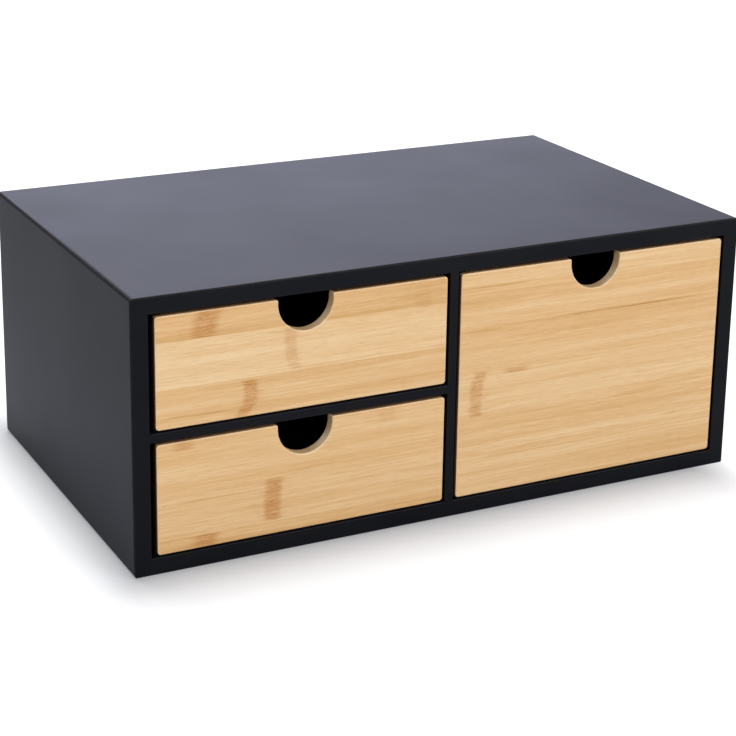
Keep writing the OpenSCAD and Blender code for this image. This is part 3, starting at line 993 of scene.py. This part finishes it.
# rise runs from -1 to 1 up the knuckle. aside is 0 along its bowed middle, 1 at its edges.
axes = wires.split(given["Place"])
rise = wires.math("DIVIDE", wires.math("SUBTRACT", axes[2], given["Z"]), given["Half height"])
bow = wires.math("MULTIPLY", wires.math("MULTIPLY", rise, rise), given["Bow"])
bow = wires.math("MULTIPLY_ADD", rise, given["Lean"], bow)
wobble = wires.swing(wires.drawn_noise(given["Place"], KNUCKLE_WOBBLE, 2.0, 0.6), 4.4)
across = wires.math("SUBTRACT", axes[0], given["X"])
across = wires.math("SUBTRACT", across, wires.math("ADD", bow, wobble))
across = wires.math("DIVIDE", across, given["Half width"])
inside = wires.range(wires.math("ABSOLUTE", rise), 1.0, 0.90, smooth=True)
aside = wires.math("ABSOLUTE", across)
mottle = wires.drawn_noise(given["Place"], KNUCKLE_MOTTLE, 3.0, 0.6)
mottle = wires.range(mottle, 0.36, 0.60, 0.28, 1.0)
band = wires.math("MULTIPLY", wires.range(aside, 1.05, 0.35, smooth=True), mottle)
drawn = wires.drawn_noise(given["Place"], KNUCKLE_SMEAR, 2.0, 0.6)
smear = wires.range(aside, 2.6, 0.6, smooth=True)
smear = wires.math("MULTIPLY", smear, wires.range(drawn, 0.46, 0.68))
stain = wires.math("MULTIPLY", wires.math("MULTIPLY_ADD", smear, 0.42, band), inside)
stain = wires.math("MULTIPLY", stain, given["Strength"], clamp=True)
wires.join(stain, result["Stain"])
core = wires.range(aside, 0.85, 0.30, smooth=True)
flecks = wires.drawn_noise(given["Place"], KNUCKLE_FLECKS, 2.0, 0.6)
flecks = wires.math("MULTIPLY", wires.range(flecks, 0.54, 0.68), core)
flecks = wires.math("MULTIPLY", flecks, inside)
flecks = wires.math("MULTIPLY", flecks, given["Strength"], clamp=True)
wires.join(flecks, result["Flecks"])

# A long brown streak along the fibres, thin, broken up and pointed at its ends.
STREAK_SWAY = (0.02, 0.05, 0.10)
STREAK_BREAKS = (0.025, 0.5, 2.6)
STREAK, wires, given, result = new_group(
    "brown_streak",
    {
        "Place": ("vector", None),
        "X": ("value", 0.0),
        "Z": ("value", 0.0),
        "Half length": ("value", 30.0),
        "Half width": ("value", 1.0),
        "Strength": ("value", 0.5),
    },
    {"Stain": "value"},
)
# square is 0 in the streak's middle and 1 at its edge, which is an ellipse that sways.
axes = wires.split(given["Place"])
sway = wires.swing(wires.drawn_noise(given["Place"], STREAK_SWAY), 2.4)
rise = wires.math("ADD", wires.math("SUBTRACT", axes[2], given["Z"]), sway)
rise = wires.math("DIVIDE", rise, given["Half width"])
along = wires.math("DIVIDE", wires.math("SUBTRACT", axes[0], given["X"]), given["Half length"])
square = wires.math("MULTIPLY_ADD", rise, rise, wires.math("MULTIPLY", along, along))
body = wires.range(square, 1.0, 0.0, smooth=True)
breaks = wires.drawn_noise(given["Place"], STREAK_BREAKS, 2.0, 0.6)
body = wires.math("MULTIPLY", body, wires.range(breaks, 0.35, 0.65, 0.35, 1.0))
wires.join(wires.math("MULTIPLY", body, given["Strength"]), result["Stain"])


def bamboo(name, low, high, strips, knuckles, streaks):
    """One board's wood. strips are (upper edge, darkness, seed) from the bottom up, knuckles
    (x, z, half width, half height, bow, lean, strength) and streaks (x, z, half length, half
    width, strength). Their places and lengths are in millimetres."""
    material, wires = new_material(name)
    where = wires.add("ShaderNodeTexCoord").outputs
    place = wires.vector("SCALE", where["Object"], scale=MM)
    axes = wires.split(place)
    low_x, low_z, high_x, high_z = (MM * part for part in (low.x, low.z, high.x, high.z))
    # A stepped ramp up the board holds the seed of each strip as red and its darkness as green.
    share = wires.range(axes[2], low_z, high_z)
    stops = []
    lower = low_z
    for upper, darkness, seed in strips:
        stops.append(((lower - low_z) / (high_z - low_z), (seed, darkness, 0)))
        lower = upper
    strip = wires.add("ShaderNodeSeparateColor", {0: wires.ramp(share, stops, "CONSTANT")}).outputs
    wood = place_group(wires, BAMBOO_FIBRES, {"Place": place, "Seed": strip[0]})
    darkness = wires.math("ADD", strip[1], wood["Tone"])
    for x, z, half_length, half_width, strength in streaks:
        inputs = {"Place": place, "X": x, "Z": z, "Half length": half_length}
        inputs.update({"Half width": half_width, "Strength": strength})
        darkness = wires.math("ADD", darkness, place_group(wires, STREAK, inputs)["Stain"])
    for edge, _, _ in strips[:-1]:
        off = wires.math("ABSOLUTE", wires.math("SUBTRACT", axes[2], edge))
        darkness = wires.math("ADD", darkness, wires.range(off, *GLUE_LINE, 0.0, GLUE_LINE_TONE))
    stain = 0.0
    flecks = 0.0
    for x, z, half_width, half_height, bow, lean, strength in knuckles:
        inputs = {"Place": place, "X": x, "Z": z, "Half width": half_width}
        inputs.update({"Half height": half_height, "Bow": bow, "Lean": lean, "Strength": strength})
        knuckle = place_group(wires, KNUCKLE, inputs)
        stain = wires.math("MAXIMUM", knuckle["Stain"], stain)
        flecks = wires.math("MAXIMUM", knuckle["Flecks"], flecks)
    tones = [(0.0, BAMBOO_PALE), (0.42, BAMBOO_MEAN), (0.80, BAMBOO_DEEP), (1.0, BAMBOO_BROWN)]
    colour = wires.ramp(wires.math("MULTIPLY_ADD", stain, 0.10, darkness, clamp=True), tones)
    colour = wires.mix(wires.math("MULTIPLY", wood["Dashes"], 0.26), colour, BAMBOO_FLECK)
    colour = wires.mix(wires.math("MULTIPLY", stain, 0.70), colour, BAMBOO_KNUCKLE)
    colour = wires.mix(wires.math("MULTIPLY", flecks, 0.50), colour, BAMBOO_FLECK)
    # Cut across the fibres, on the ends and in the notch, the wood is darker and dotted.
    facing = wires.split(wires.vector("ABSOLUTE", where["Normal"]))
    cells = wires.vector("MULTIPLY", place, (0.05, 1.6, 1.6))
    dots = wires.add("ShaderNodeTexVoronoi", {"Vector": cells, "Scale": 1.0}).outputs["Distance"]
    ends = wires.mix(wires.range(dots, 0.42, 0.16), BAMBOO_END, BAMBOO_END_DOT)
    cut_across = wires.math("MAXIMUM", facing[0], wires.math("MULTIPLY", facing[2], 0.75))
    # The outer edges carry painted shade, as dark as the gap round the opening. How deep a spot
    # lies inside the outline is reckoned with the rounded corners, and a reach of a metre along Y
    # leaves the thickness out of it.
    corner = MM * FRONT_CORNER
    middle = ((low_x + high_x) / 2, 0, (low_z + high_z) / 2)
    reach = ((high_x - low_x) / 2 - corner, MM, (high_z - low_z) / 2 - corner)
    beyond = wires.vector("ABSOLUTE", wires.vector("SUBTRACT", place, middle))
    beyond = wires.vector("MAXIMUM", wires.vector("SUBTRACT", beyond, reach), (0, 0, 0))
    depth = wires.math("SUBTRACT", corner, wires.length(beyond))
    rim = wires.range(depth, BAMBOO_RIM_DEPTH, 0.4 * BAMBOO_RIM_DEPTH)
    # The painted shade is brown near the front face and near black deeper in the gap.
    fade = [MM * low.y + behind for behind in BAMBOO_RIM_FADE]
    painted_gap_shade = wires.mix(wires.range(axes[1], *fade, 1.0, 0.0), BAMBOO_RIM, BAMBOO_RIM_SHADE_NEAR_FACE)
    ends = wires.mix(rim, ends, painted_gap_shade)
    colour = wires.mix(wires.range(cut_across, 0.35, 0.95, smooth=True), colour, ends)
    inputs = {"Place": where["Object"], "Facing": where["Normal"], "Least": 0.5}
    wear = place_group(wires, EDGE_WEAR_AND_HIGHLIGHT, inputs)
    # The eased arrises are paler, as sanded wood, and carry a painted highlight, weaker on the outer
    # edges.
    sanded_and_highlight = wires.math("MULTIPLY", wear["Wear"], wires.range(rim, 0.0, 1.0, 0.75, 0.0))
    colour = wires.mix(sanded_and_highlight, colour, BAMBOO_SANDED_AND_HIGHLIGHT)
    rough = wires.range(wood["Height"], 0.3, 0.7, 0.56, 0.44)
    wires.surface(colour, rough, wood["Height"], BAMBOO_RELIEF, BAMBOO_SPECULAR)
    return material


# The strips and marks of the three boards, as bamboo() takes them
BAMBOO_BOARDS = {
    "upper_drawer": {
        "strips": [(89.5, 0.42, 0.13), (112.2, 0.22, 0.57), (125.4, 0.60, 0.91)],
        "knuckles": [
            (-129.5, 118.6, 8.0, 6.4, 1.5, 1.5, 0.95),
            (-86.5, 101.0, 4.2, 11.0, 0.8, -1.0, 0.42),
            (-107.0, 79.6, 4.6, 9.3, -3.4, 2.2, 0.85),
            (-18.0, 117.0, 6.0, 6.0, 1.0, 0.0, 0.22),
        ],
        "streaks": [(-134.0, 75.6, 24.0, 0.7, 0.5), (-40.0, 91.0, 60.0, 1.0, 0.25)],
    },
    "lower_drawer": {
        "strips": [(15.6, 0.54, 0.37), (38.0, 0.36, 0.72), (64.2, 0.42, 0.24)],
        "knuckles": [
            (-95.8, 27.0, 5.6, 11.0, 0.6, 0.6, 1.05),
            (-130.0, 12.5, 8.5, 3.3, 0.5, 0.5, 0.85),
            (-140.0, 61.6, 7.0, 2.4, 0.3, 0.0, 0.55),
            (-36.0, 60.0, 6.0, 4.0, 0.3, 0.0, 0.3),
        ],
        "streaks": [(-125.0, 33.2, 34.0, 0.6, 0.5), (-60.0, 39.5, 50.0, 0.9, 0.25)],
    },
    "large_drawer": {
        "strips": [
            (28.0, 0.38, 0.45),
            (50.0, 0.40, 0.83),
            (73.2, 0.30, 0.05),
            (96.4, 0.42, 0.66),
            (117.0, 0.44, 0.29),
            (125.4, 0.40, 0.95),
        ],
        "knuckles": [
            (12.6, 62.0, 4.6, 12.0, 1.6, 1.0, 0.72),
            (35.0, 72.0, 9.0, 1.4, 0.2, 0.0, 0.6),
        ],
        "streaks": [
            (105.0, 96.4, 54.0, 1.1, 0.45),
            (16.0, 95.0, 16.0, 1.2, 0.35),
            (95.0, 75.5, 40.0, 0.8, 0.22),
            (108.0, 48.8, 22.0, 2.2, 0.35),
            (38.0, 28.6, 26.0, 2.0, 0.25),
            (132.0, 34.4, 14.0, 0.9, 0.3),
            (25.0, 117.0, 25.0, 0.9, 0.3),
        ],
    },
}


def arc(middle, radius, first, last, steps):
    """Points (x, z) along a part of a circle, angles in degrees."""
    turns = [math.radians(first + (last - first) * i / steps) for i in range(steps + 1)]
    return [(middle[0] + radius * math.cos(t), middle[1] + radius * math.sin(t)) for t in turns]


def front_outline(low, high, inset):
    """The outline (x, z) of a front, moved into the wood by inset."""
    middle = (low.x + high.x) / 2
    half = NOTCH_WIDTH / 2
    left, right = low.x + FRONT_CORNER, high.x - FRONT_CORNER
    foot, head = low.z + FRONT_CORNER, high.z - FRONT_CORNER
    corner = FRONT_CORNER - inset
    lip = NOTCH_LIP - inset
    lip_z = high.z - NOTCH_LIP
    points = arc((left, foot), corner, 180, 270, CORNER_STEPS)
    points += arc((right, foot), corner, 270, 360, CORNER_STEPS)
    points += arc((right, head), corner, 0, 90, CORNER_STEPS)
    points += arc((middle + half + NOTCH_LIP, lip_z), lip, 90, 180, LIP_STEPS)
    points += arc((middle, high.z - NOTCH_DEPTH + half), half + inset, 0, -180, NOTCH_STEPS)
    points += arc((middle - half - NOTCH_LIP, lip_z), lip, 0, 90, LIP_STEPS)
    points += arc((left, head), corner, 90, 180, CORNER_STEPS)
    return points


def front_shape(low, high):
    """A board through outlines at rising depths, with rounded arrises and flat faces."""
    front = [(low.y + depth, inset) for depth, inset in reversed(quarter_round(FRONT_ARRIS))]
    rear = [(high.y - depth, inset) for depth, inset in quarter_round(REAR_ARRIS)]
    rings = []
    for y, inset in front + rear:
        rings.append([(x, y, z) for x, z in front_outline(low, high, inset)])
    bm, faces = solid_through(rings)
    bm.normal_update()
    bmesh.ops.triangulate(bm, faces=faces)
    return finished_mesh("front", bm)


def box_cutter(low, high):
    """A square-edged cutter between two corners."""
    corners = [(low[0], low[1]), (high[0], low[1]), (high[0], high[1]), (low[0], high[1])]
    return cutter_through([[(x, y, z) for x, y in corners] for z in (low[2], high[2])])


def bar_cutter(start_x, end_x, y, z, radius):
    """A round bar along X, as a cutter."""
    ring = arc((y, z), radius, 0, 360 - 360 / BRAD_SIDES, BRAD_SIDES - 1)
    return cutter_through([[(x, a, b) for a, b in ring] for x in (start_x, end_x)])


for drawer, board in BAMBOO_BOARDS.items():
    node = drawer + "_front"
    low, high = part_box(node)
    wood = bamboo("bamboo_front_" + drawer, low, high, **board)
    piece = link_piece("notched_" + node, front_shape(low, high), wood)
    side = SIDE_THICKNESS + GLUE_GAP
    rebate_y = high.y - REBATE_DEPTH - GLUE_GAP
    groove_low, groove_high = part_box(drawer + "_bottom")
    brads_low, brads_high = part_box(drawer + "_brads")
    inset = BRAD_HEAD_RADIUS
    heights = spaced(brads_low.z + inset, brads_high.z - inset, BRADS_IN_A_CORNER[drawer])
    cutters = []
    for start, end in ((low.x - PAST, low.x + side), (high.x - side, high.x + PAST)):
        cutters.append(box_cutter((start, rebate_y, low.z - PAST), (end, high.y + PAST, high.z + PAST)))
    groove_start = (groove_low.x - GLUE_GAP, groove_low.y - GLUE_GAP, groove_low.z - GLUE_GAP)
    groove_end = (groove_high.x + GLUE_GAP, high.y + PAST, groove_high.z + GLUE_GAP)
    cutters.append(box_cutter(groove_start, groove_end))
    reach = DRAWER_BRAD_LENGTH + BRAD_HOLE_GAP
    for z in heights:
        for start, end in ((low.x + side - PAST, low.x + reach), (high.x - reach, high.x - side + PAST)):
            hole = BRAD_SHANK_RADIUS + BRAD_HOLE_GAP
            cutters.append(bar_cutter(start, end, brads_low.y + inset, z, hole))
    carve(piece, cutters)
    smooth_arrises(piece)
    dress(piece, drawer, "bamboo_front", node)
